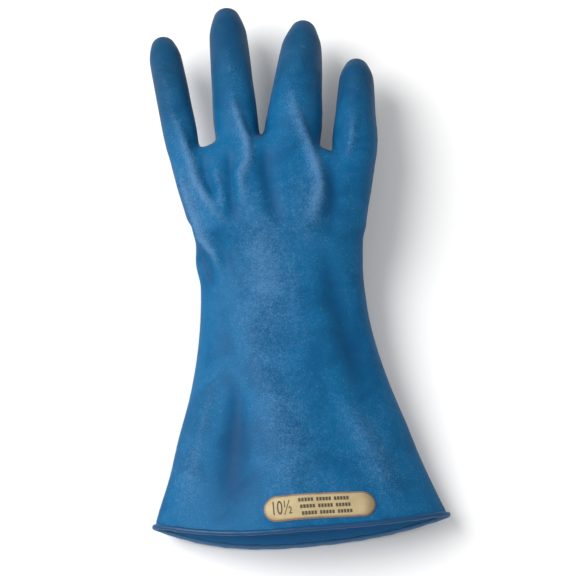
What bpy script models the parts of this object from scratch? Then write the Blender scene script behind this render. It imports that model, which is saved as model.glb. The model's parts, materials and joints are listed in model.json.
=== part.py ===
"""An electrician's insulating rubber glove for the right hand, lying palm down.

+Y runs from the cuff to the fingertips, +X to the little finger's side and +Z up, out of the back
of the hand. The origin is under the middle of the glove, on the surface that it lies on. The
dipped shell is split into stiff sections and flex bands, so that each finger can bend.
"""
import math

import bmesh
import bpy
from mathutils import Vector

LENGTH = 0.358            # outermost point of the cuff's bead to the middle fingertip
WALL = 0.0012             # thickness of the rubber
JOIN_GAP = 0.0003         # between sections that touch
OPEN_GAP = 0.0010         # extra room at a flex crease, on each side of its hinge

# Gauntlet and hand, as ovals. Station is the distance from the outermost point of the cuff.
# station, half width, height above and depth below the widest level, its height, roundness, sag
GAUNTLET_OVALS = [
    (0.0053, 0.0885, 0.0285, 0.0120, 0.01356, 1.70, 0.0205),
    (0.0300, 0.0800, 0.0290, 0.0140, 0.0160, 1.75, 0.0200),
    (0.0620, 0.0712, 0.0285, 0.0170, 0.0190, 1.85, 0.0150),
    (0.0950, 0.0624, 0.0270, 0.0195, 0.0225, 1.95, 0.0080),
    (0.1280, 0.0558, 0.0245, 0.0205, 0.0260, 2.00, 0.0025),
    (0.1580, 0.0526, 0.0225, 0.0210, 0.0300, 2.00, 0.0),
]
HAND_OVALS = [
    (0.1780, 0.0525, 0.0210, 0.0200, 0.0360, 2.00, 0.0),
    (0.1950, 0.0540, 0.0200, 0.0185, 0.0437, 2.10, 0.0),
    (0.2110, 0.0575, 0.0190, 0.0185, 0.0445, 2.20, -0.001),
    (0.2260, 0.0608, 0.0170, 0.0170, 0.0432, 2.30, -0.006),
    (0.2385, 0.0628, 0.0150, 0.0150, 0.0422, 2.40, -0.0135),
]
HAND_SHIFT = 0.0015       # the hand's centre line is nearer the little finger than the cuff's is
WRIST_STATION = 0.168     # axis that the hand bends about
WRIST_HEIGHT = 0.033
OVAL_SIDES = 32
SHARP_EDGE = 40           # degrees between faces that shade as separate

# Cuff bead and size label
BEAD_RADIUS = 0.0024
BEAD_SIDES = 8
LABEL_SIZE = (0.062, 0.0155, 0.0006)
LABEL_CENTRE = (0.009, 0.0190)     # x and station
LABEL_TIP = 0.0012                 # half width of the label at its very ends
LABEL_STEPS = 16

# Fingers: hinge x, hinge station, hinge height, splay outwards in degrees, radius, bone lengths
FINGERS = {
    "index": (-0.0545, 0.257, 0.0420, -6.0, 0.0115, (0.0350, 0.0260, 0.0225)),
    "middle": (-0.0195, 0.260, 0.0420, 0.0, 0.0130, (0.0410, 0.0310, 0.0274)),
    "ring": (0.0172, 0.2545, 0.0420, 10.0, 0.0130, (0.0375, 0.0285, 0.0250)),
    "little": (0.0540, 0.244, 0.0405, 7.0, 0.0115, (0.0280, 0.0210, 0.0210)),
}
FINGER_PITCH = (4.0, 10.0, 18.0)   # degrees below level of each bone at rest
ROOT_STATION = 0.2125              # finger roots start inside the hand's shell,
ROOT_START = 0.75                  # where they are this much of the finger's own size
REACH_THROUGH = 0.004              # how far a hollow runs on through an open end
KNUCKLE_RANGE = (-15.0, 80.0)
MIDDLE_RANGE = (-10.0, 50.0)
TIP_RANGE = (-5.0, 25.0)
FINGER_SIDES = 18
TIP_RINGS = 4
TIP_REACH = 1.05                   # length of a round end, in finger radii

# Thumb, folded under the palm: root hinge, direction in plan and length of each bone
THUMB_ROOT = (-0.034, 0.204, 0.0118)
THUMB_DIRECTIONS = (20.0, 10.0)
THUMB_BONES = (0.0340, 0.0380)
THUMB_HALF_WIDTH = 0.0140
THUMB_HALF_HEIGHT = 0.0118
THUMB_STUB_DIRECTION = 70.0
THUMB_STUB_END = 0.0078            # stub's end to the root hinge
THUMB_TIP_RANGE = (-15.0, 45.0)
STUB_RINGS = [                     # x, station, z, and the way each ring faces
    (-0.0385, 0.1865, 0.0380, (0.05, 0.30, -1.00)),
    (-0.0380, 0.1895, 0.0270, (0.12, 0.60, -0.80)),
]

BLUE = (0.012, 0.075, 0.245)
DARK_BLUE = (0.010, 0.050, 0.170)
BEIGE = (0.560, 0.450, 0.270)


def y_at(station):
    """The Y of a distance from the lip of the cuff."""
    return station - LENGTH / 2


def clear_scene():
    for obj in list(bpy.data.objects):
        bpy.data.objects.remove(obj)


def make_material(name, colour, roughness):
    material = bpy.data.materials.new(name)
    material.use_nodes = True
    shader = material.node_tree.nodes["Principled BSDF"]
    shader.inputs["Base Color"].default_value = (*colour, 1.0)
    shader.inputs["Roughness"].default_value = roughness
    shader.inputs["Metallic"].default_value = 0.0
    return material


def loft(name, rings, closed, colour, roughness, origin=(0, 0, 0)):
    """Join rings of points into one solid. A closed loft runs back from its last ring to its first."""
    mesh_data = bmesh.new()
    loops = []
    for ring in rings:
        loops.append([mesh_data.verts.new(Vector(point) - Vector(origin)) for point in ring])
    pairs = list(zip(loops, loops[1:]))
    if closed:
        pairs.append((loops[-1], loops[0]))
    for first, second in pairs:
        join_rings(mesh_data, first, second)
    if not closed:
        for ring in (loops[0], loops[-1]):
            if len(ring) > 1:
                middle = sum((vert.co for vert in ring), Vector()) / len(ring)
                join_rings(mesh_data, ring, [mesh_data.verts.new(middle)])
    bmesh.ops.triangulate(mesh_data, faces=mesh_data.faces)
    bmesh.ops.recalc_face_normals(mesh_data, faces=mesh_data.faces)
    mesh = bpy.data.meshes.new(name)
    mesh_data.to_mesh(mesh)
    mesh_data.free()
    mesh.shade_smooth()
    mesh.set_sharp_from_angle(angle=math.radians(SHARP_EDGE))
    obj = bpy.data.objects.new(name, mesh)
    obj.location = origin
    bpy.context.collection.objects.link(obj)
    mesh.materials.append(make_material(name, colour, roughness))
    return obj


def join_rings(mesh_data, first, second):
    """Bridge two rings with quads, or a ring and a single point with triangles."""
    count = max(len(first), len(second))
    for i in range(count):
        j = (i + 1) % count
        corners = []
        for vert in (first[i % len(first)], first[j % len(first)],
                     second[j % len(second)], second[i % len(second)]):
            if vert not in corners:
                corners.append(vert)
        mesh_data.faces.new(corners)


def oval_ring(oval, inset=0.0, centre_x=0.0):
    """Points round the gauntlet or the hand. The sides of the ring lie nearer the fingers by the sag."""
    station, half_width, above, below, level, roundness, sag = oval
    points = []
    for i in range(OVAL_SIDES):
        angle = 2 * math.pi * (i + 0.5) / OVAL_SIDES
        cosine = math.cos(angle)
        sine = math.sin(angle)
        across = math.copysign(abs(cosine) ** (2 / roundness), cosine)
        up = math.copysign(abs(sine) ** (2 / roundness), sine)
        height = (above if up > 0 else below) - inset
        x = centre_x + (half_width - inset) * across
        points.append((x, y_at(station + sag * across * across), level + height * up))
    return points


def mix_ovals(first, second, share):
    return tuple(a + (b - a) * share for a, b in zip(first, second))


def refined(ovals, steps):
    """Ovals with extra ones between, on a smooth curve through the given ones."""
    result = []
    for i in range(len(ovals) - 1):
        before = ovals[max(i - 1, 0)]
        start = ovals[i]
        end = ovals[i + 1]
        after = ovals[min(i + 2, len(ovals) - 1)]
        for k in range(steps):
            t = k / steps
            result.append(tuple(
                0.5 * (2 * b + (c - a) * t + (2 * a - 5 * b + 4 * c - d) * t ** 2
                       + (3 * b - a - 3 * c + d) * t ** 3)
                for a, b, c, d in zip(before, start, end, after)))
    result.append(ovals[-1])
    return result


def tube_rings(ovals, centre_x=0.0):
    """Outer rings forwards, then inner rings back: a hollow wall open at both ends."""
    outer = [oval_ring(oval, 0.0, centre_x) for oval in ovals]
    inner = [oval_ring(oval, WALL, centre_x) for oval in ovals]
    return outer + inner[::-1]


def gauntlet_shell():
    return loft("gauntlet_shell", tube_rings(refined(GAUNTLET_OVALS, 2)), True, BLUE, 0.45)


def wrist_flex_band():
    """The soft wall at the wrist, between the gauntlet and the hand."""
    start = list(GAUNTLET_OVALS[-1])
    end = list(HAND_OVALS[0])
    start[0] += JOIN_GAP
    end[0] -= JOIN_GAP
    rings = []
    for inset in (0.0, WALL):
        ring_pair = [oval_ring(start, inset), oval_ring(end, inset, HAND_SHIFT)]
        middle = [tuple((a + b) / 2 for a, b in zip(p, q)) for p, q in zip(*ring_pair)]
        wall = [ring_pair[0], middle, ring_pair[1]]
        rings += wall if inset == 0.0 else wall[::-1]
    return loft("wrist_flex_band", rings, True, DARK_BLUE, 0.5)


def cuff_bead():
    """The rolled rim: an eight-sided ring round the lip, with a flat side down."""
    lip = list(GAUNTLET_OVALS[0])
    lip[0] = BEAD_RADIUS
    path = [Vector(point) for point in oval_ring(lip, WALL / 2)]
    rings = []
    for i, point in enumerate(path):
        along = (path[(i + 1) % OVAL_SIDES] - path[i - 1]).normalized()
        forward = (Vector((0, 1, 0)) - along * along.y).normalized()
        outward = along.cross(forward)
        ring = []
        for k in range(BEAD_SIDES):
            angle = 2 * math.pi * (k + 0.5) / BEAD_SIDES
            offset = forward * math.cos(angle) + outward * math.sin(angle)
            ring.append(point + offset * BEAD_RADIUS)
        rings.append(ring)
    return loft("cuff_bead", rings, True, DARK_BLUE, 0.4)


def gauntlet_top(x, y):
    """Height of the gauntlet's upper surface."""
    ovals = refined(GAUNTLET_OVALS, 8)
    best = ovals[0]
    for first, second in zip(ovals, ovals[1:]):
        lip_first = y_at(first[0] + first[6] * (x / first[1]) ** 2)
        lip_second = y_at(second[0] + second[6] * (x / second[1]) ** 2)
        if lip_first <= y <= lip_second:
            best = mix_ovals(first, second, (y - lip_first) / (lip_second - lip_first))
    share = 1 - abs(x / best[1]) ** best[5]
    return best[4] + best[2] * share ** (1 / best[5])


def size_label():
    """A thin plate with round ends, lying on the back of the gauntlet just above its lip."""
    width, depth, thickness = LABEL_SIZE
    centre_x, station = LABEL_CENTRE
    end_radius = depth / 2
    rings = []
    for i in range(LABEL_STEPS + 1):
        along = -width / 2 + width * (1 - math.cos(math.pi * i / LABEL_STEPS)) / 2
        beyond = max(abs(along) - (width / 2 - end_radius), 0.0)
        half = max(math.sqrt(max(end_radius ** 2 - beyond ** 2, 0.0)), LABEL_TIP)
        x = centre_x + along
        ring = []
        for lift, side in ((0, -1), (0, 0), (0, 1), (thickness, 1), (thickness, 0), (thickness, -1)):
            y = y_at(station) + side * half
            ring.append((x, y, gauntlet_top(x, y) + JOIN_GAP + lift))
        rings.append(ring)
    return loft("size_label", rings, False, BEIGE, 0.6)


def bone_frame(origin, direction, up):
    """Axes of a bone: along it, across it to +X, and out of its back."""
    along = Vector(direction).normalized()
    across = along.cross(Vector(up)).normalized()
    back = across.cross(along)
    return Vector(origin), along, across, back


def bone_ring(frame, distance, radii, cut=(0.0, 0.0, 0.0), inset=0.0):
    """A ring across a bone. The cut is a closing side (across, back) and how far its plane leans."""
    origin, along, across, back = frame
    width, height = radii[0] - inset, radii[1] - inset
    ring = []
    for i in range(FINGER_SIDES):
        angle = 2 * math.pi * (i + 0.5) / FINGER_SIDES
        u = math.cos(angle)
        v = math.sin(angle)
        lean = cut[2] * (u * cut[0] * width / radii[0] + v * cut[1] * height / radii[1])
        ring.append(origin + along * (distance + lean) + across * (width * u) + back * (height * v))
    return ring


def crease(radius, closing, opening):
    """Middle distance and lean of a section's end plane, from the largest bend to each side."""
    deep = radius * math.tan(math.radians(max(closing, 0.0)) / 2) + OPEN_GAP
    shallow = radius * math.tan(math.radians(max(opening, 0.0)) / 2) + OPEN_GAP
    return (deep + shallow) / 2, (deep - shallow) / 2


def section(name, frame, length, radii, side, start, end, origin):
    """A hollow stretch of a finger. side is the bending side; start and end are creases."""
    rings = []
    for inset in (0.0, WALL):
        wall = [
            bone_ring(frame, start[0], radii, (*side, start[1]), inset),
            bone_ring(frame, length - end[0], radii, (*side, -end[1]), inset),
        ]
        rings += wall if inset == 0.0 else wall[::-1]
    return loft(name, rings, True, BLUE, 0.45, origin)


def tip_section(name, frame, length, radii, side, start, origin):
    """A hollow fingertip with a round end."""
    walls = []
    for inset in (0.0, WALL):
        reach = radii[0] * TIP_REACH
        wall = [bone_ring(frame, start[0], radii, (*side, start[1]), inset)]
        for k in range(TIP_RINGS):
            angle = math.pi / 2 * k / TIP_RINGS
            shrink = math.cos(angle)
            size = ((radii[0] - inset) * shrink, (radii[1] - inset) * shrink)
            distance = length - reach + (reach - inset) * math.sin(angle)
            wall.append(bone_ring(frame, distance, size))
        wall.append([frame[0] + frame[1] * (length - inset)])
        walls.append(wall)
    outer, inner = walls
    return loft(name, outer[::-1] + inner, False, BLUE, 0.45, origin)


def flex_band(name, first, second, radii, side, before, after):
    """The soft wall between two sections: first and second are (bone frame, distance of the hinge)."""
    rings = []
    for inset in (0.0, WALL):
        near = bone_ring(first[0], first[1] - before[0] + JOIN_GAP, radii, (*side, -before[1]), inset)
        far = bone_ring(second[0], second[1] + after[0] - JOIN_GAP, radii, (*side, after[1]), inset)
        middle = [(a + b) / 2 for a, b in zip(near, far)]
        wall = [near, middle, far]
        rings += wall if inset == 0.0 else wall[::-1]
    return loft(name, rings, True, DARK_BLUE, 0.5, second[0][0])


def finger_frames(name):
    """Hinge points and bone frames of a finger, from its knuckle to its tip."""
    x, station, height, splay, radius, bones = FINGERS[name]
    turn = math.radians(splay)
    hinge = Vector((x, y_at(station), height))
    frames = []
    for pitch, length in zip((0.0, *FINGER_PITCH), (0.0, *bones)):
        down = math.radians(pitch)
        direction = Vector((
            math.sin(turn) * math.cos(down), math.cos(turn) * math.cos(down), -math.sin(down)))
        frames.append(bone_frame(hinge, direction, (0, 0, 1)))
        hinge = hinge + direction * length
    return frames


def finger_creases(radius):
    """The three creases of a finger, each from its range and the bend that it has at rest."""
    creases = []
    last_pitch = 0.0
    for pitch, limits in zip(FINGER_PITCH, (KNUCKLE_RANGE, MIDDLE_RANGE, TIP_RANGE)):
        bend = pitch - last_pitch
        creases.append(crease(radius, limits[1] + bend, -limits[0] - bend))
        last_pitch = pitch
    return creases


def make_finger(name):
    """Three hollow sections and three flex bands."""
    radius = FINGERS[name][4]
    bones = FINGERS[name][5]
    frames = finger_frames(name)
    creases = finger_creases(radius)
    radii = (radius, radius)
    palm_side = (0.0, -1.0)
    root, base, middle, tip = frames
    section(name + "_base", base, bones[0], radii, palm_side, creases[0], creases[1], base[0])
    section(name + "_middle", middle, bones[1], radii, palm_side, creases[1], creases[2], middle[0])
    tip_section(name + "_tip", tip, bones[2], radii, palm_side, creases[2], tip[0])
    joints = (
        ("_knuckle_band", (root, 0.0), base), ("_middle_band", (base, bones[0]), middle),
        ("_tip_band", (middle, bones[1]), tip))
    for (suffix, first, second), fold in zip(joints, creases):
        flex_band(name + suffix, first, (second, 0.0), radii, palm_side, fold, fold)


def plan_direction(degrees):
    return Vector((math.cos(math.radians(degrees)), math.sin(math.radians(degrees)), 0.0))


def thumb_frames():
    """Bone frames of the thumb, from its root hinge."""
    hinge = Vector((THUMB_ROOT[0], y_at(THUMB_ROOT[1]), THUMB_ROOT[2]))
    frames = []
    for degrees, length in zip(THUMB_DIRECTIONS, THUMB_BONES):
        frames.append(bone_frame(hinge, plan_direction(degrees), (0, 0, 1)))
        hinge = hinge + plan_direction(degrees) * length
    return frames


def thumb_stub_frame():
    hinge = Vector((THUMB_ROOT[0], y_at(THUMB_ROOT[1]), THUMB_ROOT[2]))
    return bone_frame(hinge, plan_direction(THUMB_STUB_DIRECTION), (0, 0, 1))


def stub_rings(inset):
    """Rings of the thumb's root, from inside the hand down to the root crease."""
    radii = (THUMB_HALF_WIDTH, THUMB_HALF_HEIGHT)
    rings = []
    for x, station, z, facing in STUB_RINGS:
        frame = bone_frame((x, y_at(station), z), facing, (0, 0.3, 1))
        rings.append(bone_ring(frame, 0.0, radii, inset=inset))
    end = thumb_stub_frame()
    rings.append(bone_ring(end, -THUMB_STUB_END - REACH_THROUGH, radii, inset=inset))
    rings.append(bone_ring(end, -THUMB_STUB_END, radii, inset=inset))
    return rings


def make_thumb():
    """Two hollow sections and two flex bands, folded under the palm."""
    first, last = thumb_frames()
    radii = (THUMB_HALF_WIDTH, THUMB_HALF_HEIGHT)
    bend = THUMB_DIRECTIONS[0] - THUMB_DIRECTIONS[1]
    fold = crease(THUMB_HALF_WIDTH, THUMB_TIP_RANGE[1] + bend, -THUMB_TIP_RANGE[0] - bend)
    flex_side = (1.0, 0.0)
    root = (THUMB_STUB_END, 0.0)
    section("thumb_base", first, THUMB_BONES[0], radii, flex_side, root, fold, first[0])
    tip_section("thumb_tip", last, THUMB_BONES[1], radii, flex_side, fold, last[0])
    flex_band("thumb_root_band", (thumb_stub_frame(), 0.0), (first, 0.0), radii, flex_side, root, root)
    flex_band("thumb_tip_band", (first, THUMB_BONES[0]), (last, 0.0), radii, flex_side, fold, fold)


def guide(name, rings):
    """A shape that only cuts or joins the hand's shell."""
    obj = loft(name, rings, False, BLUE, 0.5)
    obj.hide_render = True
    obj.display_type = "WIRE"
    obj.hide_set(True)
    return obj


def root_tube(name, inset):
    """A finger's root, from inside the hand to its knuckle crease."""
    x, station, height, splay, radius, bones = FINGERS[name]
    frame = finger_frames(name)[0]
    fold = finger_creases(radius)[0]
    radii = (radius, radius)
    run = ROOT_STATION - station
    beyond = REACH_THROUGH if inset > 0.0 else 0.0
    start = bone_ring(frame, run, (radius * ROOT_START, radius * ROOT_START), inset=inset)
    end = bone_ring(frame, -fold[0] + beyond, radii, (0.0, -1.0, -fold[1]), inset)
    return [start, end]


def hand_shell():
    """The hollow hand: an oval hull with four finger roots and the thumb's root, made as one wall."""
    ovals = refined(HAND_OVALS, 2)
    wrist = (HAND_SHIFT / 2, y_at(WRIST_STATION), WRIST_HEIGHT)
    hull = [oval_ring(oval, 0.0, HAND_SHIFT) for oval in ovals]
    shell = loft("hand_shell", hull, False, BLUE, 0.45, wrist)
    join_roots(shell, "outer", 0.0)
    hollow_ovals = [(ovals[0][0] - REACH_THROUGH, *ovals[0][1:])] + ovals[:-1]
    hollow_ovals.append((ovals[-1][0] - WALL, *ovals[-1][1:]))
    hollow = guide("hand_hollow", [oval_ring(oval, WALL, HAND_SHIFT) for oval in hollow_ovals])
    join_roots(hollow, "inner", WALL)
    change(shell, hollow, "DIFFERENCE")
    return shell


def join_roots(body, suffix, inset):
    """Add the roots of the fingers and the thumb to the hand, or to its hollow."""
    for name in FINGERS:
        change(body, guide(f"{name}_root_{suffix}", root_tube(name, inset)), "UNION")
    thumb = stub_rings(inset)
    if inset > 0.0:
        reach = thumb_stub_frame()[1] * REACH_THROUGH
        thumb.append([point + reach for point in thumb[-1]])
    change(body, guide("thumb_root_" + suffix, thumb), "UNION")


def change(body, tool, operation):
    modifier = body.modifiers.new(tool.name, "BOOLEAN")
    modifier.operation = operation
    modifier.solver = "EXACT"
    modifier.object = tool


def main():
    clear_scene()
    gauntlet_shell()
    cuff_bead()
    size_label()
    wrist_flex_band()
    hand_shell()
    for name in FINGERS:
        make_finger(name)
    make_thumb()


main()
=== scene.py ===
"""Looks of a blue rubber insulating glove for the right hand, lying palm down.

One skin covers the whole glove. It is drawn as a distance field: ovals for the gauntlet and the
hand, smooth centre lines for the fingers and tapered bones for the thumb, blended where the rubber
webs between them. The field is turned into a mesh, opened at the cuff, creased and rippled, and cut
into pieces at the joints.
"""
import json
import math

import bmesh
import bpy
import numpy as np
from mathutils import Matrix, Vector
from mathutils.bvhtree import BVHTree


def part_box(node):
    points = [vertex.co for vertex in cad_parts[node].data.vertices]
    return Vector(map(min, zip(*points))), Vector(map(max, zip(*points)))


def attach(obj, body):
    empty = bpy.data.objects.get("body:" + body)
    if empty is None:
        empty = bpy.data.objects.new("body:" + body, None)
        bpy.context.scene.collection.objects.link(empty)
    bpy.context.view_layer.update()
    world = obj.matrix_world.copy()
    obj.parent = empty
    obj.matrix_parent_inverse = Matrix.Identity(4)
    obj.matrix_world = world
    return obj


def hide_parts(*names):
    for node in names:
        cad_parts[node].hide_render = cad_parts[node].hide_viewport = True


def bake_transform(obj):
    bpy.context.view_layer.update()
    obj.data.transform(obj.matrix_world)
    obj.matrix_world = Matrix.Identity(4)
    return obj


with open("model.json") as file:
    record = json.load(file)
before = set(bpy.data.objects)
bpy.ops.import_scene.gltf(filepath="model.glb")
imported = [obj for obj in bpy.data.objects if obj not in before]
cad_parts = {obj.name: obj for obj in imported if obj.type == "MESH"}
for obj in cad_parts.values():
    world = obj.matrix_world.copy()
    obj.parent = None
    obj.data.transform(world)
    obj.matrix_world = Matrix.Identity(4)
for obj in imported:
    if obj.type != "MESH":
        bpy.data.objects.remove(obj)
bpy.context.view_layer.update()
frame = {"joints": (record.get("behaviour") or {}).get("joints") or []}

JOINTS = {joint["name"]: joint for joint in frame["joints"]}
FINGERS = ("index", "middle", "ring", "little")
CUFF_LOW, CUFF_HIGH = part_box("cuff_bead")
CUFF_Y = CUFF_LOW.y

CELL = 0.0017      # size of the grid that the skin is read on
FAR = 0.030                                  # distance beyond which a finger is ignored
SKIN_WALL = 0.0011                           # thickness of the rubber
WALL_FLOOR = SKIN_WALL * 0.8                 # lowest level of the inner wall
BEAD_RADIUS = 0.0016
FLOOR_GAP = 0.0004                           # the glove rests this far above the floor

# Ovals of the gauntlet and the hand. Station is the distance from the cuff's outermost point:
# station, half width, height above and depth below the widest level, that level, roundness, sag
OVALS = np.array([
    (0.0000, 0.0896, 0.0304, 0.0120, 0.0140, 1.62, 0.0162),
    (0.0300, 0.0788, 0.0298, 0.0135, 0.0160, 1.72, 0.0155),
    (0.0620, 0.0697, 0.0288, 0.0165, 0.0190, 1.85, 0.0120),
    (0.0950, 0.0606, 0.0268, 0.0190, 0.0225, 1.95, 0.0065),
    (0.1280, 0.0542, 0.0243, 0.0202, 0.0262, 2.00, 0.0025),
    (0.1580, 0.0516, 0.0222, 0.0208, 0.0302, 2.00, 0.0),
    (0.1780, 0.0520, 0.0208, 0.0195, 0.0362, 2.00, 0.0),
    (0.1950, 0.0538, 0.0197, 0.0172, 0.0437, 2.05, 0.0),
    (0.2110, 0.0565, 0.0186, 0.0165, 0.0447, 2.10, 0.0),
    (0.2260, 0.0588, 0.0170, 0.0155, 0.0434, 2.15, 0.0),
    (0.2400, 0.0600, 0.0158, 0.0145, 0.0424, 2.20, 0.0),
    (0.2650, 0.0606, 0.0140, 0.0135, 0.0418, 2.20, 0.0),
])
SAG_POWER = 2.5                              # how sharply the lip's arc rises to its corners
LIP_TILT = 0.48                              # share of the sag missing on the little finger's side
LIP_REACH = 0.0012                           # middle of the lip beyond the cuff's CAD edge
HAND_SHIFT = 0.0018                          # the hand's middle, towards the little finger
# Where the web between the fingers ends: x and station, from the thumb's side to the little finger
WEB_LINE = np.array([(-0.075, 0.238), (-0.056, 0.246), (-0.037, 0.2540), (-0.019, 0.2540),
                     (-0.0005, 0.2540), (0.018, 0.2495), (0.036, 0.2435), (0.054, 0.233),
                     (0.075, 0.220)])
WEB_ROUND = 0.010                            # how softly the hand ends at that line
WEB_SOFTNESS = 0.0070                        # how softly the fingers blend into the hand
# Radii at the knuckle, middle joint, tip joint, halfway along the tip and at its end; flatness
FINGER_RADII = {
    "index": ((0.0108, 0.0111, 0.0109, 0.0103, 0.0084), 0.97),
    "middle": ((0.0138, 0.0134, 0.0127, 0.0116, 0.0091), 1.0),
    "ring": ((0.0179, 0.0160, 0.0137, 0.0118, 0.0090), 1.0),
    "little": ((0.0144, 0.0130, 0.0118, 0.0108, 0.0085), 1.0),
}
# How far each finger lies across from its hinges, towards the little finger
FINGER_SHIFT = {"index": -0.0002, "middle": 0.0, "ring": -0.0016, "little": 0.0006}
ROOT_LENGTH = 0.048                          # a finger's root reaches this far into the hand
ROOT_SHRINK = 0.50                           # and starts this much of the knuckle's radius
# Radii of the thumb at its root, bend, middle and end, and inside the hand
THUMB_RADII = (0.0138, 0.0132, 0.0128, 0.0092)
THUMB_INSIDE = 0.0120
THUMB_SQUASH = 1.20                          # the thumb is this many times wider than it is deep
THUMB_CLEAR = 0.0245                         # height between the thumb and the palm
THUMB_REACH = 0.0085                         # half the length of the thumb's bend

# Half the length of each finger's middle bend and of its tip bend, and where its knuckle's bend
# starts beyond the hinge
MIDDLE_REACH = {"index": 0.0080, "middle": 0.0090, "ring": 0.0090, "little": 0.0080}
TIP_REACH = 0.006
KNUCKLE_START = {"index": 0.004, "middle": 0.004, "ring": 0.004, "little": 0.002}

BEAD_COUNT = 220
BEAD_SIDES = 10
BEAD_CORNER = (0.004, 0.0012)                # length of the lip's pointed corners, and their reach
LABEL_SIZE = (0.0675, 0.0155)
LABEL_SHIFT = (0.0020, -0.0050)              # of its middle from the middle of the CAD label
LABEL_BORDER = 0.0010
RIM_LIFT, RIM_THICKNESS = 0.00045, 0.0009
PLATE_LIFT, PLATE_THICKNESS = 0.00062, 0.0004
PRINT_LIFT = 0.00080
NUMERAL_HEIGHT = 0.0118
NUMERAL_WIDTH = 0.62                         # narrow figures
NUMERAL_LEFT = -0.44                         # of the label's length, from its middle
ROWS_LEFT = -0.19
ROW_STEP = 0.0040
# Plain marks that stand for print: three rows of even groups, and the size and spacing of a mark
LABEL_ROWS = [(5, 5, 5)] * 3
MARK_SIZE = (0.00130, 0.0021)
MARK_STEP = 0.00185

CAMERA_HEADING = 5.0                         # degrees from +Y towards +X
CAMERA_ELEVATION = 70.0
CAMERA_DISTANCE = 1.3
CAMERA_LENS = 129
CAMERA_SENSOR = 36
CAMERA_TARGET = (0.0044, -0.0198, 0.030)
WORLD_STRENGTH = 0.48
FLOOR_SIZE = 60.0
# Place, size and watts of each lamp
LAMPS = {"key": ((-1.1, 0.25, 1.35), 1.4, 38), "fill": ((0.5, -0.9, 1.5), 1.4, 6)}


def station_y(station):
    """The y of a station, which is a distance from the cuff's outermost point."""
    return CUFF_Y + station


def smooth_table(rows, steps=12):
    """Rows read from a smooth curve through the given rows, with the first column ascending."""
    result = []
    for i in range(len(rows) - 1):
        before, start, end = rows[max(i - 1, 0)], rows[i], rows[i + 1]
        after = rows[min(i + 2, len(rows) - 1)]
        for k in range(steps):
            t = k / steps
            result.append(0.5 * (2 * start + (end - before) * t
                                 + (2 * before - 5 * start + 4 * end - after) * t ** 2
                                 + (3 * start - before - 3 * end + after) * t ** 3))
    result.append(rows[-1])
    return np.array(result)


OVAL_CURVE = smooth_table(OVALS)
WEB_CURVE = smooth_table(WEB_LINE)


def smooth_min(a, b, softness):
    """The smaller of two distances, with a rounded blend where they are nearly equal."""
    share = np.clip(0.5 + 0.5 * (b - a) / softness, 0, 1)
    return b + (a - b) * share - softness * share * (1 - share)


def smoothstep(low, high, value):
    t = np.clip((value - low) / (high - low), 0, 1)
    return t * t * (3 - 2 * t)


def oval_at(y):
    """Half width, heights, level, roundness and sag of the oval at y."""
    station = np.clip(y - CUFF_Y, OVAL_CURVE[0, 0], OVAL_CURVE[-1, 0])
    return [np.interp(station, OVAL_CURVE[:, 0], OVAL_CURVE[:, k]) for k in range(1, 7)]


def bow(across):
    """Shape of the lip: 0 near its middle and 1 at its corners."""
    return np.abs(across) ** SAG_POWER * np.where(across > 0, 1 - LIP_TILT, 1)


def hand_shift(y):
    return HAND_SHIFT * smoothstep(0.12, 0.20, y - CUFF_Y)


def body_field(p):
    """Distance to the ovals, with the webs' ends as a rounded stop."""
    x, y, z = p[:, 0], p[:, 1], p[:, 2]
    half, *_, sag = oval_at(y)
    flat_y = y - sag * bow(np.clip(x / half, -1.05, 1.05))
    half, above, below, level, roundness, sag = oval_at(flat_y)
    across = np.abs(x - hand_shift(flat_y)) / half
    height = np.where(z > level, above, below)
    up = np.abs(z - level) / height
    size = (across ** roundness + up ** roundness + 1e-9) ** (1 / roundness)
    slope = np.sqrt((size ** (1 - roundness) * across ** (roundness - 1) / half) ** 2
                    + (size ** (1 - roundness) * up ** (roundness - 1) / height) ** 2) + 1e-6
    oval = (size - 1) / np.maximum(slope, 8.0)
    end = y - (CUFF_Y + np.interp(x, WEB_CURVE[:, 0], WEB_CURVE[:, 1]))
    return -smooth_min(-oval, -end, WEB_ROUND)


def bone_field(p, start, end, radius_start, radius_end, across, flatness):
    """Distance to a tapered bone, narrower across by its flatness."""
    run = end - start
    share = np.clip((p - start) @ run / (run @ run), 0, 1)
    off = p - start - share[:, None] * run
    off = off + across * (off @ across)[:, None] * (1 / flatness - 1)
    return np.sqrt((off ** 2).sum(1)) - (radius_start + (radius_end - radius_start) * share)


def finger_points(name):
    """Points along a finger, read from the frame, with its directions forward and across.

    The points are its three hinges, one halfway along its tip and the centre of its round end.
    """
    hinges = [np.array(JOINTS[name + bend]["pos_m"])
              for bend in ("_knuckle", "_middle_bend", "_tip_bend")]
    axis = np.array(JOINTS[name + "_knuckle"]["axis"])
    low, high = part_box(name + "_tip")
    radius = FINGER_RADII[name][0][-1]
    forward = np.array((axis[1], -axis[0], 0.0))
    end = hinges[2] + forward * (high.y - hinges[2][1]) / forward[1]
    end[2] = (low.z + high.z) / 2 - 0.001
    along = (end - hinges[2]) / np.linalg.norm(end - hinges[2])
    end = end - along * radius
    halfway = hinges[2] * 0.5 + end * 0.5
    halfway[2] += 0.0006
    return [*hinges, halfway, end], forward, -axis


def finger_line(name):
    """Smooth centre line of a finger, from inside the hand to its round end, with its radius."""
    points, forward, across = finger_points(name)
    radii, flatness = FINGER_RADII[name]
    points = [points[0] - forward * ROOT_LENGTH, *points]
    rows = [(*(point + across * FINGER_SHIFT[name]), radius)
            for point, radius in zip(points, (radii[0] * ROOT_SHRINK, *radii))]
    return smooth_table(np.array(rows), 4), across, flatness


FINGER_LINES = {name: finger_line(name) for name in FINGERS}


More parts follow.
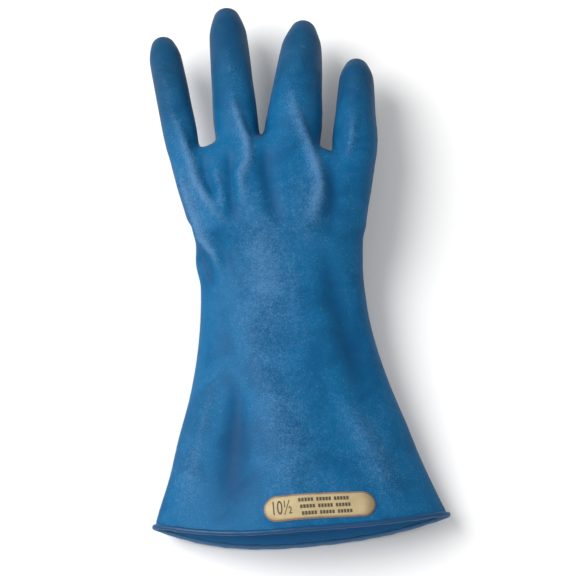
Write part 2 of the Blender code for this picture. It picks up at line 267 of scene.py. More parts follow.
def finger_field(p, name):
    """Distance to a finger. Points far from it are only given a large distance."""
    line, across, flatness = FINGER_LINES[name]
    low, high = line[:, :3].min(0) - FAR, line[:, :3].max(0) + FAR
    near = ((p > low) & (p < high)).all(1)
    result = np.full(len(p), FAR)
    best = result[near]
    for start, end in zip(line, line[1:]):
        bone = bone_field(p[near], start[:3], end[:3], start[3], end[3], across, flatness)
        best = np.minimum(best, bone)
    result[near] = best
    return result


def thumb_points():
    """The thumb's two hinges, the centre of its round end, and the direction between its hinges."""
    root = np.array(JOINTS["thumb_root"]["pos_m"])
    bend = np.array(JOINTS["thumb_tip_bend"]["pos_m"])
    low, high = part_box("thumb_tip")
    along = (bend - root) / np.linalg.norm(bend - root)
    tip = np.array((high.x, (low.y + high.y) / 2 + 0.003, root[2]))
    tip = tip - (tip - bend) / np.linalg.norm(tip - bend) * THUMB_RADII[3]
    return root, bend, tip, along


def thumb_field(p):
    """The thumb, and how softly it blends into the hand, which fades away from its root."""
    root, bend, tip, along = thumb_points()
    squashed = p.copy()
    squashed[:, 2] = root[2] + (p[:, 2] - root[2]) * THUMB_SQUASH
    stub = np.array((root[0] - 0.003, root[1] - 0.012, root[2] + 0.002))
    inside = np.array((root[0] - 0.004, root[1] - 0.024, root[2] + 0.024))
    up = np.array((0.0, 0.0, 1.0))
    middle = (bend + tip) / 2
    at_root, at_bend, at_middle, at_tip = THUMB_RADII
    result = bone_field(squashed, inside, stub, THUMB_INSIDE, at_root, up, 1.0)
    for start, end, radius_start, radius_end, blend in (
            (stub, root, at_root, at_root, 0.004), (root, bend, at_root, at_bend, 0.004),
            (bend, middle, at_bend, at_middle, 0.002), (middle, tip, at_middle, at_tip, 0.002)):
        bone = bone_field(squashed, start, end, radius_start, radius_end, up, 1.0)
        result = smooth_min(result, bone, blend)
    from_root = (p - root) @ along
    softness = 0.0085 * (1 - smoothstep(-0.004, 0.010, from_root)) + 0.0004
    return result, softness


def glove_field(p):
    """Distance to the whole glove."""
    result = body_field(p)
    for name in FINGERS:
        result = smooth_min(result, finger_field(p, name), WEB_SOFTNESS)
    thumb, softness = thumb_field(p)
    return smooth_min(result, thumb, softness)


def sample_grid(low, high, cell):
    """The field on a grid, in slices so that it stays small in memory."""
    axes = [np.arange(low[k], high[k] + cell, cell) for k in range(3)]
    values = np.empty([len(axis) for axis in axes])
    yy, zz = np.meshgrid(axes[1], axes[2], indexing="ij")
    for i, x in enumerate(axes[0]):
        points = np.stack([np.full(yy.size, x), yy.ravel(), zz.ravel()], 1)
        values[i] = glove_field(points).reshape(yy.shape)
    return values, np.array([axis[0] for axis in axes])


def surface_net(values, origin, cell):
    """Points and quads where the field is zero: one point in each grid cell that it crosses."""
    shape = np.array(values.shape) - 1
    corners = [np.array((i, j, k)) for i in (0, 1) for j in (0, 1) for k in (0, 1)]

    def corner_values(corner):
        i, j, k = corner
        return values[i:i + shape[0], j:j + shape[1], k:k + shape[2]]

    total = np.zeros((*shape, 3))
    count = np.zeros(shape)
    for first in corners:
        for axis in range(3):
            if first[axis]:
                continue
            second = first.copy()
            second[axis] = 1
            a, b = corner_values(first), corner_values(second)
            crossing = (a < 0) != (b < 0)
            share = np.where(crossing, a / np.where(crossing, a - b, 1), 0)
            for k in range(3):
                total[..., k] += np.where(crossing, first[k] + (share if k == axis else 0), 0)
            count += crossing
    active = count > 0
    index = np.full(shape, -1)
    index[active] = np.arange(active.sum())
    cells = np.argwhere(active)
    points = origin + cell * (cells + total[active] / count[active][:, None])
    quads = []
    inside = values < 0
    for axis in range(3):
        u, v = (axis + 1) % 3, (axis + 2) % 3
        ahead = np.moveaxis(inside, axis, 0)
        change = np.moveaxis(ahead[1:] != ahead[:-1], 0, axis)
        where = np.argwhere(change)
        keep = (where[:, u] > 0) & (where[:, v] > 0)
        keep &= (where[:, u] < shape[u]) & (where[:, v] < shape[v])
        where = where[keep]
        ring = []
        for du, dv in ((1, 1), (0, 1), (0, 0), (1, 0)):
            at = where.copy()
            at[:, u] -= du
            at[:, v] -= dv
            ring.append(index[at[:, 0], at[:, 1], at[:, 2]])
        ring = np.stack(ring, 1)
        outward = inside[where[:, 0], where[:, 1], where[:, 2]]
        quads.append(np.where(outward[:, None], ring, ring[:, ::-1]))
    return points, np.concatenate(quads)


def neighbour_sums(points, quads):
    """Sum and count of the points next to each point."""
    total = np.zeros_like(points)
    count = np.zeros(len(points))
    for k in range(4):
        a, b = quads[:, k], quads[:, (k + 1) % 4]
        np.add.at(total, a, points[b])
        np.add.at(total, b, points[a])
        np.add.at(count, a, 1)
        np.add.at(count, b, 1)
    return total, count


def settle(points, quads, rounds):
    """Even out the mesh, keeping it on the field's surface."""
    step = 1e-4
    for _ in range(rounds):
        total, count = neighbour_sums(points, quads)
        points = points * 0.4 + 0.6 * total / count[:, None]
        for _ in range(2):
            value = glove_field(points)
            slope = np.stack([(glove_field(points + step * axis) - value) / step
                              for axis in np.eye(3)], 1)
            points = points - slope * (value / np.maximum((slope ** 2).sum(1), 0.25))[:, None]
    return points


def face_normals(points, quads):
    return np.cross(points[quads[:, 2]] - points[quads[:, 0]],
                    points[quads[:, 3]] - points[quads[:, 1]])


def point_normals(points, quads):
    normals = np.zeros_like(points)
    faces = face_normals(points, quads)
    for k in range(4):
        np.add.at(normals, quads[:, k], faces)
    return normals / np.maximum(np.linalg.norm(normals, axis=1), 1e-12)[:, None]


def lip_y(x):
    """The lip of the cuff: an arc whose ends lie nearer the fingers."""
    half, sag = OVALS[0, 1], OVALS[0, 6]
    return CUFF_Y + BEAD_RADIUS - LIP_REACH + sag * bow(np.clip(x / half, -1.02, 1.02))


def trim_cuff(points, quads):
    """Open the glove at its lip, and bring the ragged edge onto the lip's arc."""
    beyond = points[:, 1] - lip_y(points[:, 0])
    quads = quads[(beyond[quads] > -CELL * 0.5).all(1)]
    used, quads = np.unique(quads, return_inverse=True)
    quads = quads.reshape(-1, 4)
    points = points[used]
    edge = np.zeros(len(points), bool)
    for a, b in boundary_edges(quads):
        edge[a] = edge[b] = True
    points[edge, 1] = lip_y(points[edge, 0])
    return points, quads


def boundary_edges(quads):
    """Directed edges that have a face on one side only."""
    edges = np.concatenate([quads[:, [k, (k + 1) % 4]] for k in range(4)])
    key = np.sort(edges, axis=1)
    _, first, count = np.unique(key, axis=0, return_index=True, return_counts=True)
    return edges[first[count == 1]]


# ---------------------------------------------------------------- creases and ripples

def stroke(points, line, width, depth, fade=0.35):
    """Height of one ridge, or of a furrow below 0, along a line of plan points. Its width may change.
    """
    line = np.array(line)
    best = np.full(len(points), 1e9)
    along = np.zeros(len(points))
    lengths = np.linalg.norm(np.diff(line, axis=0), axis=1)
    done = 0.0
    for k in range(len(line) - 1):
        run = line[k + 1] - line[k]
        share = np.clip((points[:, :2] - line[k]) @ run / (run @ run), 0, 1)
        off = np.linalg.norm(points[:, :2] - line[k] - share[:, None] * run, axis=1)
        nearer = off < best
        best = np.where(nearer, off, best)
        along = np.where(nearer, (done + share * lengths[k]) / lengths.sum(), along)
        done += lengths[k]
    ends = smoothstep(0, fade, along) * smoothstep(0, fade, 1 - along)
    spread = width[0] + (width[1] - width[0]) * along
    return depth * ends * np.exp(-(best / spread) ** 2)


# Ridges and grooves on the back, in millimetres: plan points as (x, station), the width at each
# end of the line, and the height
CREASES = [
    # ridges that run down from the knuckles, and the grooves between them
    ([(-63, 288), (-54, 256), (-47, 224), (-37, 201), (-22, 187)], (2.6, 3.8), 2.6),
    ([(-35, 240), (-34, 222), (-32, 200)], (2.2, 3.4), 1.6),
    ([(-23, 296), (-19, 271), (-14, 250), (-14, 236), (-20, 226), (-19, 211), (-15, 194)],
     (2.6, 4.2), 2.8),
    ([(17, 292), (18, 268), (23, 250), (28, 231), (30, 214), (25, 196), (13, 180)], (2.8, 5.0), 2.5),
    ([(57, 274), (53, 248), (47, 228)], (2.6, 3.2), 1.7),
    ([(-42, 248), (-42, 228), (-34, 206)], (2.8, 3.4), -2.0),
    ([(-26, 250), (-26, 223), (-27, 190)], (3.0, 3.6), -2.0),
    ([(-3, 252), (-4, 226), (-2, 204), (3, 180)], (4.2, 6.5), -2.8),
    ([(36, 240), (38, 222), (37, 204), (30, 178)], (3.6, 6.0), -2.1),
    # the band down to the thumb's root, and the fold inward from it
    ([(-63, 252), (-55, 218), (-49, 190), (-40, 177), (-37, 164), (-36, 152)], (3.2, 2.4), 2.1),
    ([(-51, 184), (-45, 172), (-42, 158)], (2.4, 3.2), -2.4),
    ([(-42, 194), (-34, 180), (-31, 164)], (3.0, 4.0), -1.3),
    # the wrist and the gauntlet
    ([(-42, 118), (-56, 72), (-76, 18)], (5.0, 9.0), 2.4),
    ([(-30, 104), (-36, 64), (-45, 4)], (4.0, 15.0), -3.2),
    ([(-27, 160), (-16, 96), (-6, 50), (0, 4)], (8.0, 17.0), 2.2),
    ([(25, 182), (37, 124), (50, 62)], (7.0, 9.0), -2.5),
    ([(24, 94), (43, 52), (63, 8)], (5.0, 9.0), 2.2),
    ([(6, 170), (9, 134), (11, 100)], (4.0, 5.0), 0.8),
    # folds on the fingers' backs
    ([(-66, 299), (-60, 294), (-55, 300)], (2.2, 2.2), -0.5),
    ([(-27, 304), (-20, 299), (-12, 305)], (2.4, 2.4), -0.5),
    ([(14, 298), (23, 293), (33, 299)], (2.4, 2.4), -0.5),
    ([(50, 278), (58, 274), (66, 280)], (2.2, 2.2), -0.5),
    ([(-23, 326), (-20, 288)], (4.0, 4.0), 0.6),
    ([(28, 322), (22, 292)], (4.0, 4.0), 0.6),
    ([(-69, 322), (-60, 288)], (3.4, 3.4), 0.6),
    ([(63, 300), (56, 274)], (3.4, 3.4), 0.5),
]


def crease_height(points):
    """Total height of the creases above each point's place in plan."""
    total = np.zeros(len(points))
    for line, width, height in CREASES:
        plan = [(x / 1000, station_y(station / 1000)) for x, station in line]
        total += stroke(points, plan, (width[0] / 1000, width[1] / 1000), height / 1000)
    return total


def ripple_height(points):
    """Slow waves of the rubber, longer on the gauntlet than on the fingers."""
    x, y, z = points[:, 0], points[:, 1], points[:, 2]
    cuff = 1 - smoothstep(0.06, 0.19, y - CUFF_Y)
    broad = np.sin(58 * x + 9 * y + 0.6) * np.sin(17 * y - 21 * x + 1.1)
    fine = np.sin(171 * x - 63 * y + 0.4) * np.sin(121 * y + 84 * x + 2.2) * np.sin(90 * z + 0.7)
    return 0.0011 * broad * (0.35 + 0.65 * cuff) + 0.00028 * fine


def crumple(points, quads):
    """Push the skin in and out along its normals."""
    normals = point_normals(points, quads)
    back = smoothstep(0.05, 0.55, normals[:, 2])
    near_lip = smoothstep(0.0, 0.012, points[:, 1] - lip_y(points[:, 0]))
    height = crease_height(points) * back + ripple_height(points) * (0.4 + 0.6 * back)
    underside = smoothstep(0.004, 0.012, points[:, 2])
    return points + normals * (height * near_lip * underside)[:, None]


# ---------------------------------------------------------------- cutting the skin into pieces

def finger_stations(name):
    """How far beyond the knuckle the bends start and end, and where the pieces are cut."""
    points, _, _ = finger_points(name)
    middle = np.linalg.norm(points[1] - points[0])
    tip = middle + np.linalg.norm(points[2] - points[1])
    reach = MIDDLE_REACH[name]
    return {
        "knuckle": (KNUCKLE_START[name], middle - reach - 0.0015),
        "middle_bend": (middle - reach, middle + reach),
        "tip_bend": (tip - TIP_REACH, tip + TIP_REACH),
        "cuts": (middle - reach - 0.0008, (middle + reach + tip - TIP_REACH) / 2),
    }


def finger_distance(name, points):
    """Distance beyond the knuckle, measured along the finger in plan and, past its hinges, down it."""
    hinges, _, _ = finger_points(name)
    first = np.linalg.norm(hinges[1] - hinges[0])
    second = np.linalg.norm(hinges[2] - hinges[1])
    ways = [hinges[1] - hinges[0], hinges[2] - hinges[1], hinges[4] - hinges[2]]
    ways = [way / np.linalg.norm(way) for way in ways]
    from_middle = (points - hinges[1]) @ ways[1]
    from_tip = (points - hinges[2]) @ ways[2]
    distance = (points - hinges[0]) @ ways[0]
    distance = np.where(from_middle > 0, first + from_middle, np.minimum(distance, first))
    return np.where(from_tip > 0, first + second + from_tip, np.minimum(distance, first + second))


def web_sides():
    """Lines that part neighbouring fingers: a point, and the direction to the next finger."""
    sides = []
    for name, other in zip(FINGERS, FINGERS[1:]):
        (here, forward, _), (there, ahead, _) = finger_points(name), finger_points(other)
        gap = (here[0] + forward * 0.012 + there[0] + ahead * 0.012) / 2
        along = forward + ahead
        along /= np.linalg.norm(along)
        sides.append((gap, np.array((along[1], -along[0], 0.0))))
    return sides


def part_names(centres):
    """The piece that each face belongs to, by its centre."""
    names = np.full(len(centres), "hand", dtype=object)
    sides = web_sides()
    for k, name in enumerate(FINGERS):
        own = np.ones(len(centres), bool)
        if k:
            point, across = sides[k - 1]
            own &= (centres - point) @ across > 0
        if k < len(FINGERS) - 1:
            point, across = sides[k]
            own &= (centres - point) @ across <= 0
        hinges, forward, _ = finger_points(name)
        own &= (centres - hinges[0]) @ forward > 0
        distance = finger_distance(name, centres)
        first_cut, second_cut = finger_stations(name)["cuts"]
        names[own] = name + "_root"
        names[own & (distance > first_cut)] = name + "_middle"
        names[own & (distance > second_cut)] = name + "_end"
    root, _, _, along = thumb_points()
    start, end = thumb_zone()
    low = (centres[:, 2] < THUMB_CLEAR) & (thumb_field(centres)[0] < body_field(centres))
    low &= (centres - start) @ (end - start) > 0
    names[low] = "thumb_root"
    names[low & ((centres - root) @ along > thumb_cut())] = "thumb_end"
    return names


def thumb_zone():
    """Two points across the thumb's root: faces beyond the first, towards the second, may go to the
    thumb's pieces.
    """
    root = np.array(JOINTS["thumb_root"]["pos_m"])
    return root + np.array((-0.004, -0.012, 0)), root + np.array((0.012, 0.008, 0))


def thumb_cut():
    """Distance along the thumb to the cut between its two pieces, just before its bend."""
    root, bend, _, _ = thumb_points()
    return np.linalg.norm(bend - root) - THUMB_REACH


# ---------------------------------------------------------------- the skin as objects

# Where more talc clings, with painted highlight on the lit places: x, station, half width, half length
# (mm), amount
POWDER_AND_HIGHLIGHT_PATCHES = [
    (22, 204, 11, 20, 0.36), (-10, 180, 16, 30, 0.36), (-8, 144, 17, 34, 0.30), (-6, 62, 20, 46, 0.22),
    (-52, 214, 7, 24, 0.36), (-46, 184, 6, 14, 0.34), (50, 44, 12, 32, 0.20), (-68, 46, 10, 30, 0.18),
    (10, 26, 40, 14, 0.06), (-19, 280, 5, 24, 0.16), (17, 276, 6, 24, 0.18), (-62, 278, 4, 26, 0.16),
]


def powder_and_highlight_patches(points):
    """Total amount of the patches at each point."""
    x, station = points[:, 0] * 1000, (points[:, 1] - CUFF_Y) * 1000
    return sum(amount * np.exp(-((x - at) / width) ** 2 - ((station - along) / length) ** 2)
               for at, along, width, length, amount in POWDER_AND_HIGHLIGHT_PATCHES)


def rest_shares(points, normals, heights):
    """Talc with painted highlight on ridges, upward faces and patches; painted shade in the creases,
    between the fingers and towards the sides; and darker fingertips, for the rubber's colour.
    """
    station = points[:, 1] - CUFF_Y
    top = smoothstep(0.25, 0.95, normals[:, 2])
    on_hand = smoothstep(0.10, 0.18, station)
    # talc, with painted highlight on upward faces, on the patches and on the ridges' crests
    powder_and_highlight = top * (0.06 + powder_and_highlight_patches(points)) + (90 + 150 * on_hand) * np.maximum(heights, 0)
    powder_and_highlight = np.clip(powder_and_highlight, 0, 1)
    # painted shade: darker where a crease sinks into the skin
    painted_shade = np.clip(300 * np.maximum(-heights, 0), 0, 1)
    # painted shade between the fingers, where two fingers lie close
    fields = np.sort(np.stack([finger_field(points, name) for name in FINGERS], 1), axis=1)
    crotch_shade = (1 - smoothstep(0.002, 0.011, fields[:, 1])) * smoothstep(0.205, 0.245, station)
    # painted shade towards the sides, where the skin turns away from above
    sides = (1 - smoothstep(0.0, 0.62, normals[:, 2])) * smoothstep(-0.5, 0.0, normals[:, 2])
    painted_shade = np.clip(painted_shade + crotch_shade + 0.35 * sides, 0, 1)
    tips = smoothstep(0.262, 0.345, station + 0.6 * points[:, 0] ** 2 / 0.07)
    return powder_and_highlight, painted_shade, tips


def make_object(name, points, faces, smooth=True):
    mesh = bpy.data.meshes.new(name)
    corners = [tuple(int(i) for i in face) for face in faces]
    mesh.from_pydata([tuple(p) for p in points], [], corners)
    mesh.validate()
    mesh.update()
    mesh.polygons.foreach_set("use_smooth", [smooth] * len(mesh.polygons))
    made = bpy.data.objects.new(name, mesh)
    bpy.context.scene.collection.objects.link(made)
    return made


def keep_values(mesh, values, places):
    """Store the colour shares and the place at rest, which the materials read."""
    colour = mesh.color_attributes.new("shares", "FLOAT_COLOR", "POINT")
    colour.data.foreach_set("color", np.column_stack(values).astype(np.float32).ravel())
    place = mesh.attributes.new("place", "FLOAT_VECTOR", "POINT")
    place.data.foreach_set("vector", places.astype(np.float32).ravel())


def build_skin():
    """The whole outer skin at rest: points, quads, normals and colour shares."""
    low = np.array((CUFF_LOW.x - 0.010, CUFF_Y - 0.010, -0.004))
    high = np.array((CUFF_HIGH.x + 0.010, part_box("middle_tip")[1].y + 0.008, 0.070))
    values, origin = sample_grid(low, high, CELL)
    points, quads = surface_net(values, origin, CELL)
    points = settle(points, quads, 3)
    points, quads = trim_cuff(points, quads)
    points = crumple(points, quads)
    points[:, 2] = np.maximum(points[:, 2], FLOOR_GAP)
    normals = point_normals(points, quads)
    heights = crease_height(points) * smoothstep(0.05, 0.55, normals[:, 2])
    shares = rest_shares(points, normals, heights)
    return points, quads, normals, shares


def add_wall(points, quads, normals, edge):
    """Outer and inner wall, joined along the lip."""
    inner = points - normals * SKIN_WALL
    inner[:, 2] = np.maximum(inner[:, 2], WALL_FLOOR)
    count = len(points)
    faces = np.concatenate([quads, quads[:, ::-1] + count])
    rim = np.array([(b, a, a + count, b + count) for a, b in edge])
    return np.concatenate([points, inner]), np.concatenate([faces, rim])


def lip_edges(points, quads):
    """The open edges at the cuff."""
    edges = boundary_edges(quads)
    centre = (points[edges[:, 0], 1] + points[edges[:, 1], 1]) / 2
    return edges[centre < CUFF_Y + 0.04]


def skin_pieces(points, quads, normals, shares, material):
    """Cut the skin into its pieces; shading stays continuous across the cuts."""
    names = part_names(points[quads].mean(1))
    made = {}
    for name in dict.fromkeys(names):
        chosen = quads[names == name]
        used, local = np.unique(chosen, return_inverse=True)
        local = local.reshape(-1, 4)
        places, ups = points[used], normals[used]
        count = len(used)
        values = [share[used] for share in shares]
        if name == "hand":
            edge = lip_edges(places, local)
            places, local = add_wall(places, local, ups, edge)
            ups = np.concatenate([ups, -ups])
            values = [np.concatenate([value, value]) for value in values]
        inside = np.zeros(len(places))
        inside[count:] = 1
        piece = make_object("skin_" + name, places, local)
        keep_values(piece.data, [*values, inside], places)
        piece.data.normals_split_custom_set_from_vertices([tuple(n) for n in ups])
        piece.data.materials.append(material)
        made[name] = piece
    return made


def attach_skin(made):
    """Bring each piece's place into its mesh, and hide the CAD parts that the skin covers."""
    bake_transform(made["hand"])
    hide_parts("gauntlet_shell", "wrist_flex_band", "hand_shell", "thumb_root_band")
    for name in FINGERS:
        hinges, _, _ = finger_points(name)
        stations = finger_stations(name)
        ways = [hinges[1] - hinges[0], hinges[2] - hinges[1], hinges[4] - hinges[2]]
        lengths = [np.linalg.norm(way) for way in ways]
        ways = [way / length for way, length in zip(ways, lengths)]
        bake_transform(made[name + "_root"])
        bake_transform(made[name + "_middle"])
        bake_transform(made[name + "_end"])
        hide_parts(name + "_knuckle_band", name + "_base")
        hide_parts(name + "_middle_band", name + "_middle")
        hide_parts(name + "_tip_band", name + "_tip")
    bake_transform(made["thumb_root"])
    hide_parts("thumb_base")
    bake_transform(made["thumb_end"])
    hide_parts("thumb_tip_band", "thumb_tip")


# ---------------------------------------------------------------- rolled bead

def ordered_loop(points, edges):
    """The lip's points in order round the opening."""
    following = {int(a): int(b) for a, b in edges}
    start = next(iter(following))
    loop, at = [start], following[start]
    while at != start:
        loop.append(at)
        at = following[at]
    return points[loop]


def resample(loop, count):
    """The same closed loop with evenly spaced points."""
    closed = np.vstack([loop, loop[:1]])
    lengths = np.concatenate([[0], np.cumsum(np.linalg.norm(np.diff(closed, axis=0), axis=1))])
    wanted = np.linspace(0, lengths[-1], count, endpoint=False)
    return np.column_stack([np.interp(wanted, lengths, closed[:, k]) for k in range(3)])


def smooth_loop(loop, rounds):
    for _ in range(rounds):
        loop = loop * 0.5 + (np.roll(loop, 1, 0) + np.roll(loop, -1, 0)) * 0.25
    return loop


def build_bead(points, quads, material):
    """The rolled rim: an uneven tube along the lip, drawn out at its two corners."""
    loop = ordered_loop(points, lip_edges(points, quads))
    loop = smooth_loop(resample(loop, BEAD_COUNT), 3)
    length, reach = BEAD_CORNER
    corner = np.exp(-((np.abs(loop[:, 0]) - np.abs(loop[:, 0]).max()) / length) ** 2)
    loop[:, 0] += np.sign(loop[:, 0]) * corner * reach
    loop[:, 2] = np.maximum(loop[:, 2], BEAD_RADIUS * 1.15)
    ahead = np.roll(loop, -1, 0) - np.roll(loop, 1, 0)
    ahead /= np.linalg.norm(ahead, axis=1)[:, None]
    side = np.tile(np.array((0.0, 1.0, 0.0)), (len(loop), 1))
    side -= ahead * (side * ahead).sum(1)[:, None]
    side /= np.linalg.norm(side, axis=1)[:, None]
    up = np.cross(ahead, side)
    steps = np.arange(len(loop)) * (2 * math.pi / len(loop))
    radius = BEAD_RADIUS * (1 + 0.07 * np.sin(23 * steps) + 0.05 * np.sin(41 * steps + 1))
    rings = []
    for k in range(BEAD_SIDES):
        angle = 2 * math.pi * k / BEAD_SIDES
        rings.append(loop + (side * math.cos(angle) + up * math.sin(angle)) * radius[:, None])
    places = np.stack(rings, 1).reshape(-1, 3)
    faces = []
    for i in range(len(loop)):
        here, there = i * BEAD_SIDES, (i + 1) % len(loop) * BEAD_SIDES
        for k in range(BEAD_SIDES):
            j = (k + 1) % BEAD_SIDES
            faces.append((here + k, here + j, there + j, there + k))
    bead = make_object("rolled_bead", places, faces)
    outward = bmesh.new()
    outward.from_mesh(bead.data)
    bmesh.ops.recalc_face_normals(outward, faces=outward.faces)
    outward.to_mesh(bead.data)
    outward.free()
    # painted shadow on the bead of the upper lip and painted highlight on the bead of the lower lip,
    # by height
    near = smoothstep(0.010, 0.022, places[:, 2])
    none = np.zeros(len(places))
    keep_values(bead.data, [0.9 * (1 - near), near, none, none], places)
    bead.data.materials.append(material)
    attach(bead, "gauntlet")
    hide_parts("cuff_bead")


# ---------------------------------------------------------------- label

class Draper:
    """Lays flat shapes, drawn in the label's own plane, on the skin."""

    def __init__(self, points, quads):
        corners = [tuple(int(i) for i in quad) for quad in quads]
        self.tree = BVHTree.FromPolygons([tuple(p) for p in points], corners)
        low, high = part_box("size_label")
        self.centre = np.array(((low.x + high.x) / 2, (low.y + high.y) / 2)) + LABEL_SHIFT
        self.size = np.array(LABEL_SIZE)

    def place(self, u, v, lift):
        """The point above the skin at (u, v) from the label's middle."""
        x, y = self.centre[0] + u, self.centre[1] + v
        hit, normal, _, _ = self.tree.ray_cast(Vector((x, y, 0.2)), Vector((0, 0, -1)))
        if normal.z < 0:
            normal = -normal
        return np.array(hit + normal * lift)

    def shape(self, name, outline, lift, thickness, material, steps=1):
        """A thin plate whose outline is given in the label's plane, with rings towards its middle."""
        outline = np.array(outline)
        middle = outline.mean(0)
        places = []
        for share in np.linspace(1, 0, steps + 1)[:-1]:
            places += [self.place(*(middle + (corner - middle) * share), lift) for corner in outline]
        places.append(self.place(*middle, lift))
        places += [self.place(*corner, lift - thickness) for corner in outline]
        count = len(outline)
        faces = []
        for ring in range(steps):
            for k in range(count):
                a, b = ring * count + k, ring * count + (k + 1) % count
                if ring == steps - 1:
                    faces.append((a, b, steps * count))
                else:
                    faces.append((a, b, b + count, a + count))
        skirt = steps * count + 1
        for k in range(count):
            following = (k + 1) % count
            faces.append((k, skirt + k, skirt + following, following))
        made = make_object(name, places, faces)
        made.data.materials.append(material)
        return made


def stadium(half_length, half_height, steps=14):
    """Outline with round ends, counter-clockwise."""
    run = half_length - half_height
    outline = []
    for side in (1, -1):
        for k in range(steps + 1):
            angle = math.pi * (k / steps - 0.5)
            outline.append((side * (run + half_height * math.cos(angle)),
                            side * half_height * math.sin(angle)))
        outline += [(side * run * share, side * half_height) for share in (0.6, 0.2, -0.2, -0.6)]
    return outline


def label_numerals(draper, ink):
    """The size, as raised print."""
    curve = bpy.data.curves.new("size_numerals", "FONT")
    curve.body = "10½"
    curve.size = NUMERAL_HEIGHT
    curve.align_x = "LEFT"
    curve.align_y = "CENTER"
    curve.resolution_u = 4
    text = bpy.data.objects.new("size_numerals_text", curve)
    bpy.context.scene.collection.objects.link(text)
    bpy.context.view_layer.update()
    mesh = bpy.data.meshes.new_from_object(text)
    bpy.data.objects.remove(text)
    left = draper.size[0] * NUMERAL_LEFT
    for vertex in mesh.vertices:
        vertex.co = draper.place(left + vertex.co.x * NUMERAL_WIDTH, vertex.co.y, PRINT_LIFT)
    made = bpy.data.objects.new("size_numerals", mesh)
    bpy.context.scene.collection.objects.link(made)
    made.data.materials.clear()
    made.data.materials.append(ink)
    return made


def label_rows(draper, ink):
    """Three rows of small print, as plain marks in even groups."""
    faces, places = [], []
    width, height = MARK_SIZE
    for row, groups in enumerate(LABEL_ROWS):
        left = draper.size[0] * ROWS_LEFT + row * 0.0008
        middle = (1 - row) * ROW_STEP
        for marks in groups:
            for _ in range(marks):
                first = len(places)
                for u, v in ((0, -1), (width, -1), (width, 1), (0, 1)):
                    places.append(draper.place(left + u, middle + v * height / 2, PRINT_LIFT))
                faces.append(tuple(range(first, first + 4)))
                left += MARK_STEP
            left += MARK_STEP * 0.8
    made = make_object("label_rows", places, faces, smooth=False)
    made.data.materials.append(ink)
    return made


def build_label(points, quads, materials):
    """The label: a dark outline, the plate on it, and the print."""
    draper = Draper(points, quads)
    half_length, half_height = draper.size / 2
    rim = draper.shape("label_rim", stadium(half_length, half_height),
                       RIM_LIFT, RIM_THICKNESS, materials["label_rim"], 4)
    face = stadium(half_length - LABEL_BORDER, half_height - LABEL_BORDER)
    plate = draper.shape("label_plate", face, PLATE_LIFT, PLATE_THICKNESS, materials["label"], 5)
    numerals = label_numerals(draper, materials["ink"])
    rows = label_rows(draper, materials["ink"])
    for piece in (rim, plate, numerals, rows):
        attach(piece, "gauntlet")
    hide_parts("size_label")


# ---------------------------------------------------------------- materials

class Nodes:
    """Short ways to add the nodes that the materials share."""

    def __init__(self, name, roughness, specular):
        self.material = bpy.data.materials.new(name)
        self.material.use_nodes = True
        self.tree = self.material.node_tree
        self.shader = self.tree.nodes["Principled BSDF"]
        self.shader.inputs["Roughness"].default_value = roughness
        self.shader.inputs["Specular IOR Level"].default_value = specular

    def set(self, socket, value):
        """Link a socket to another node's output, or give it a value."""
        if isinstance(value, bpy.types.NodeSocket):
            self.tree.links.new(value, socket)
        else:
            socket.default_value = value

    def attribute(self, name):
        node = self.tree.nodes.new("ShaderNodeAttribute")
        node.attribute_name = name
        return node

    def noise(self, place, scale, detail=2.0, distortion=0.0):
        node = self.tree.nodes.new("ShaderNodeTexNoise")
        self.set(node.inputs["Vector"], place)
        node.inputs["Scale"].default_value = scale
        node.inputs["Detail"].default_value = detail
        node.inputs["Distortion"].default_value = distortion
        return node.outputs["Fac"]

    def ramp(self, value, low, high):
        """0 below low, 1 above high."""
        node = self.tree.nodes.new("ShaderNodeMapRange")
        node.interpolation_type = "SMOOTHSTEP"
        self.set(node.inputs["Value"], value)
        node.inputs["From Min"].default_value = low
        node.inputs["From Max"].default_value = high
        return node.outputs["Result"]

    def math(self, operation, a, b, clamp=False):
        node = self.tree.nodes.new("ShaderNodeMath")
        node.operation = operation
        node.use_clamp = clamp
        self.set(node.inputs[0], a)
        self.set(node.inputs[1], b)
        return node.outputs[0]

    def mix(self, share, a, b):
        node = self.tree.nodes.new("ShaderNodeMix")
        node.data_type = "RGBA"
        self.set(node.inputs[0], share)
        self.set(node.inputs[6], a)
        self.set(node.inputs[7], b)
        return node.outputs[2]

    def bump(self, height, distance, strength, before=None):
        node = self.tree.nodes.new("ShaderNodeBump")
        node.inputs["Strength"].default_value = strength
        node.inputs["Distance"].default_value = distance
        self.set(node.inputs["Height"], height)
        if before:
            self.set(node.inputs["Normal"], before)
        return node.outputs["Normal"]


# navy for painted shade and for random darker mottling of the rubber
NAVY_SHADE_AND_MOTTLE = (0.0015, 0.034, 0.105, 1)
BLUE = (0.0018, 0.094, 0.226, 1)
# pale blue for talc and for painted highlight
POWDER_AND_HIGHLIGHT = (0.078, 0.182, 0.330, 1)
TEAL_TIP = (0.0055, 0.050, 0.112, 1)
# lighter blue for the inner wall: painted light in the shaded inside of the cuff
INSIDE_PAINTED_LIGHT_BLUE = (0.034, 0.185, 0.420, 1)


